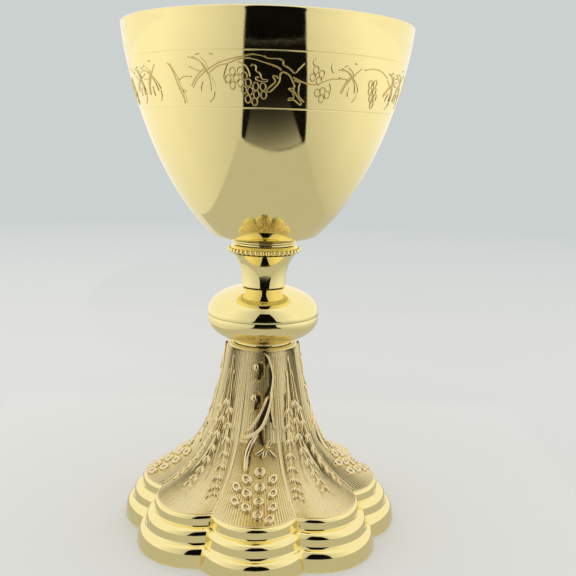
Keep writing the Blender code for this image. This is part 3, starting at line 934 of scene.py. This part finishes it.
def make_wheat_panels(material):
    """Three ears on every other panel, fanned toward the creases."""
    art = Relief()
    wheat_ear(art, [(0.0, 0.06), (0.6, 0.35), (-0.5, 0.62), (0.2, 0.80), (0.0, 0.90)], 8)
    for side in (-1, 1):
        wheat_ear(art, [(1.2 * side, 0.16), (2.6 * side, 0.40), (5.4 * side, 0.64), (9.0 * side, 0.82),
                        (12.6 * side, 0.92)], 8)
        blade = smooth_line([(2.0 * side, 0.22), (4.4 * side, 0.46), (5.6 * side, 0.60), (8.4 * side, 0.70)], 7)
        art.strand(blade, lambda s: 0.3 + 1.3 * sin(pi * s), 0.5, (0.2, 0.1), 0.5)
        art.strand(smooth_line([(1.1 * side, 0.55), (2.6 * side, 0.72), (5.4 * side, 0.88)], 7),
                   lambda s: 0.3 + 1.1 * sin(pi * s), 0.45, (0.2, 0.1), 0.4)
    art.lay("wheat_relief", LOBES // 2, 2 * LOBE_TURN, LOBE_TURN, material)


def make_borders(material):
    """Ridges beside every crease and a raised line along the end of every panel."""
    art = Relief()
    for side in (-1, 1):
        ridge = [(side * (stem_radius(t) * pi / LOBES - 0.75), t) for t in spread(0.03, 0.99, 34)]
        art.strand(ridge, 0.5, 0.42, (1.0, 1.0))
    half = stem_radius(1.0) * pi / LOBES
    art.strand([(half * s, 1.0) for s in spread(-0.995, 0.995, 30)], 0.62, 0.34, (1.0, 1.0))
    art.lay("panel_borders", LOBES, LOBE_TURN, 0.0, material)


# ---- fasteners

def make_tie_rod(material):
    """The long rod, its thread cut as a true helix by the tree."""
    _, top, bottom = extent("tie_rod")
    rod_r, end_r, chamfer = 3.95, 3.3, 0.6
    outline = [(0.0, top), (end_r, top)] + [(rod_r, z) for z in spread(top - chamfer, bottom + chamfer, 176)]
    outline += [(end_r, bottom), (0.0, bottom)]
    source = turned("rod_turning", outline, 24)
    tree = Tree("cut_thread")
    pitch, depth, major = tree.take(pitch=THREAD_PITCH * MM, thread_depth=0.62 * MM, cut_from_radius=3.5 * MM)
    calc = tree.math
    x, y, z = tree.position
    turns = calc("/", calc("ARCTAN2", y, x), tau)
    phase = calc("FRACT", calc("-", calc("/", z, pitch), turns))
    tooth = calc("ABSOLUTE", calc("-", calc("*", phase, 2.0), 1.0))
    radius = calc("SQRT", calc("+", calc("*", x, x), calc("*", y, y)))
    outside = calc("GREATER_THAN", radius, major)
    cut = calc("*", calc("*", tooth, depth), outside)
    share = calc("-", 1.0, calc("/", cut, calc("MAXIMUM", radius, 0.0001)))
    laid = tree.place(tree.source, calc("*", x, share), calc("*", y, share), z)
    tree.finish(laid, material)
    dress(grown("threaded_rod", source, tree, material, 25), material, "stand", "tie_rod", "tie_rod")


def make_nut(material):
    """A hexagon nut with chamfered corners and a countersunk hole."""
    low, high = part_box("hex_nut")
    top, bottom = high[2] / MM, low[2] / MM
    flat = high[1] / MM
    corner = flat / cos(pi / 6)
    hole, mouth, sink, chamfer = 4.2, 4.8, 0.7, 0.9
    sixth = pi / 3
    steps = 72
    bm = bmesh.new()
    rows = []
    for r, z in ((hole, top - sink), (mouth, top), (flat, top), (corner, top - chamfer),
                 (corner, bottom + chamfer), (flat, bottom), (mouth, bottom), (hole, bottom + sink)):
        row = []
        for i in range(steps):
            a = tau * i / steps
            local = (a - pi / 2 + sixth / 2) % sixth - sixth / 2
            limit = min(r, flat / cos(local)) if r > mouth else r
            row.append(bm.verts.new((limit * MM * cos(a), limit * MM * sin(a), z * MM)))
        rows.append(row)
    for upper, lower in zip(rows, rows[1:] + rows[:1]):
        for i in range(steps):
            j = (i + 1) % steps
            bm.faces.new((upper[i], upper[j], lower[j], lower[i]))
    dress(to_object("nut", bm, 25), material, "stand", "hex_nut", "hex_nut")


# ---- stage

WALL_COLOUR = (0.60, 0.64, 0.63, 1)
OPENING_Y = -0.75           # where the tent's opening stands, in metres
CARD_LAYER = 0.0003         # the cards on the floor lie one above another, this far apart


def make_world():
    """A white tent for light and reflections, with a plain pale wall behind the object."""
    world = bpy.data.worlds.new("tent")
    bpy.context.scene.world = world
    world.use_nodes = True
    tree = world.node_tree
    back = tree.nodes["Background"]
    back.inputs[0].default_value = (1.0, 0.98, 0.96, 1)
    back.inputs[1].default_value = 1.0
    seen = add_node(tree, "ShaderNodeBackground", (WALL_COLOUR,))
    camera_ray = add_node(tree, "ShaderNodeLightPath").outputs["Is Camera Ray"]
    mix = add_node(tree, "ShaderNodeMixShader", (camera_ray, back.outputs[0], seen.outputs[0]))
    tree.links.new(mix.outputs[0], tree.nodes["World Output"].inputs[0])


def make_floor():
    """A round pale floor that fades into the wall's colour."""
    bm = bmesh.new()
    bmesh.ops.create_circle(bm, cap_ends=True, segments=96, radius=6.0)
    floor = to_object("floor", bm)
    material = bpy.data.materials.new("pale_floor")
    tree, shader, add = paint(material)
    shader.inputs["Base Color"].default_value = (0.72, 0.74, 0.73, 1)
    shader.inputs["Roughness"].default_value = 0.9
    far = add("ShaderNodeVectorMath", {0: add("ShaderNodeTexCoord").outputs["Object"]}, operation="LENGTH")
    fade = add("ShaderNodeMapRange", {"Value": far.outputs["Value"], "From Min": 0.25, "From Max": 1.2})
    glow = add("ShaderNodeEmission", {"Color": WALL_COLOUR})
    mixed = add("ShaderNodeMixShader", (fade.outputs[0], shader.outputs[0], glow.outputs[0]))
    tree.links.new(mixed.outputs[0], tree.nodes["Material Output"].inputs[0])
    floor.data.materials.append(material)


def reflected_card(name, faces, strength):
    """A card that only reflections see; strength is a number or a function of the position's x and y."""
    material = bpy.data.materials.new(name)
    tree, _, add = paint(material)
    glow = add("ShaderNodeEmission", {"Color": (1.0, 0.985, 0.95, 1)})
    if callable(strength):
        x, y, _ = add("ShaderNodeSeparateXYZ", (add("ShaderNodeTexCoord").outputs["Object"],)).outputs
        tree.links.new(strength(partial(add_math, tree), x, y), glow.inputs["Strength"])
    else:
        glow.inputs["Strength"].default_value = strength
    tree.links.new(glow.outputs[0], tree.nodes["Material Output"].inputs[0])
    bm = bmesh.new()
    for corners in faces:
        bm.faces.new([bm.verts.new(corner) for corner in corners])
    card = to_object(name, bm)
    card.data.materials.append(material)
    card.visible_camera = False
    card.visible_diffuse = False
    card.visible_shadow = False


def tent_glow(calc, x, y):
    """Brightness of the white cloth: dimmest straight in front, rising to both sides."""
    middle, half_width, near = 0.057, 0.083, 0.25
    brightest, dimmed, fading = 1.04, 0.48, -1.2
    aside = calc("-", calc("ABSOLUTE", calc("-", x, middle)), half_width)
    reach = calc("+", calc("MAXIMUM", calc("*", y, -1.0), 0.0), near)
    bearing = calc("/", calc("MAXIMUM", aside, 0.0), reach)
    return calc("-", brightest, calc("*", dimmed, calc("EXPONENT", calc("*", bearing, fading))))


def apron_glow(calc, _, y):
    """The grey strip in the opening fades away from the object."""
    near, brightest, fading = 0.187, 0.29, 0.042
    away = calc("-", near, calc("*", y, -1.0))
    return calc("*", brightest, calc("EXPONENT", calc("/", away, fading)))


def floor_card(name, layer, corners, strength):
    reflected_card(name, [[(x, y, layer * CARD_LAYER) for x, y in corners]], strength)


def make_cards():
    """What the polished metal mirrors: white cloth, the tent's dark opening and the shaded floor before it."""
    wall, far, wide = -1.2, OPENING_Y, 6.0
    floor = [(x, y, CARD_LAYER) for x, y in ((-wide, wall), (wide, wall), (wide, wide), (-wide, wide))]
    front = [(-wide, wall, 0.0), (wide, wall, 0.0), (wide, wall, 3.0), (-wide, wall, 3.0)]
    reflected_card("tent_cloth", [floor, front], tent_glow)
    floor_card("shaded_cloth", 2, ((-0.090, -0.20), (0.15, -0.18), (0.147, 0.15), (-0.165, 0.15)), 0.54)
    opening = [(-0.20, far, 0.002), (0.45, far, 0.002), (0.26, far, 0.85), (-0.05, far, 0.85)]
    reflected_card("lens_opening", [opening], 0.002)
    floor_card("dark_apron", 3, (
        (-0.080, -0.205), (0.040, -0.181), (0.149, -0.166), (0.200, -0.263), (0.45, far), (-0.20, far),
        (-0.093, -0.300),
    ), 0.004)
    floor_card("grey_apron", 4, (
        (-0.066, -0.199), (0.040, -0.183), (0.137, -0.171), (0.115, -0.36), (-0.046, -0.36),
    ), apron_glow)


def make_camera():
    """A camera a little right of the front, tilted down; lengths in metres, angles in degrees."""
    distance, height = 0.3183, 0.1618
    turn, pitch, yaw, roll = map(radians, (3.0, 10.96, 1.83, 1.43))
    data = bpy.data.cameras.new("camera")
    data.sensor_width = 36.0
    data.lens = 48.86
    data.clip_start = 0.01
    camera = in_scene("camera", data)
    camera.location = (distance * sin(turn), -distance * cos(turn), height)
    bearing = yaw - turn
    forward = Vector((sin(bearing) * cos(pitch), cos(bearing) * cos(pitch), -sin(pitch)))
    camera.rotation_mode = "QUATERNION"
    camera.rotation_quaternion = forward.to_track_quat("-Z", "Y") @ Quaternion((0, 0, 1), roll)
    bpy.context.scene.camera = camera


def main():
    make_camera()
    make_world()
    make_floor()
    make_cards()
    bpy.context.scene.view_settings.view_transform = "Standard"
    bpy.context.scene.view_settings.look = "None"
    bright = gilt("bright_gilt", (0.96, 0.84, 0.40), (0.93, 0.80, 0.37), 0.035, 0.075)
    line = gilt("engraved_gilt", (0.80, 0.66, 0.30), (0.66, 0.52, 0.21), 0.10, 0.20)
    ground = gilt("panel_ground", (0.86, 0.75, 0.43), (0.78, 0.66, 0.35), 0.24, 0.36, grain=0.15)
    relief = gilt("relief_gilt", (0.90, 0.78, 0.48), (0.82, 0.68, 0.38), 0.14, 0.26, grain=0.1, worn=0.2)
    # painted shade: near-black metal for the strands beside the vine, standing in for dark reflections of the
    # relief's steep sides
    shade_paint = gilt("painted_shade_metal", (0.07, 0.05, 0.02), (0.04, 0.03, 0.01), 0.35, 0.5, grain=0.2)
    steel = gilt("zinced_steel", (0.60, 0.60, 0.58), (0.50, 0.50, 0.49), 0.3, 0.45, grain=0.2)
    brass = gilt("turned_brass", (0.78, 0.60, 0.28), (0.70, 0.52, 0.22), 0.25, 0.4, grain=0.1)
    make_cup(bright)
    make_frieze(line)
    make_boss(bright)
    make_ring("seat_ring", "cup_seat_ring", COLLAR_HOLE_R, 0.2, bright, "seat")
    make_collar(bright)
    make_neck(bright)
    make_knob(bright)
    make_foot(ground, bright)
    make_hatching(ground)
    make_grape_panels(relief)
    make_shade_strands(shade_paint)
    make_wheat_panels(relief)
    make_borders(relief)
    for name, node in (("bush", "neck_bush"), ("spacer_tube", "knob_tube"), ("cap_disc", "stem_cap")):
        make_ring(name, node, ROD_HOLE_R, 0.25, brass, "stand")
    make_ring("flat_washer", "washer", ROD_HOLE_R, 0.3, steel, "stand")
    make_nut(steel)
    make_tie_rod(steel)


main()
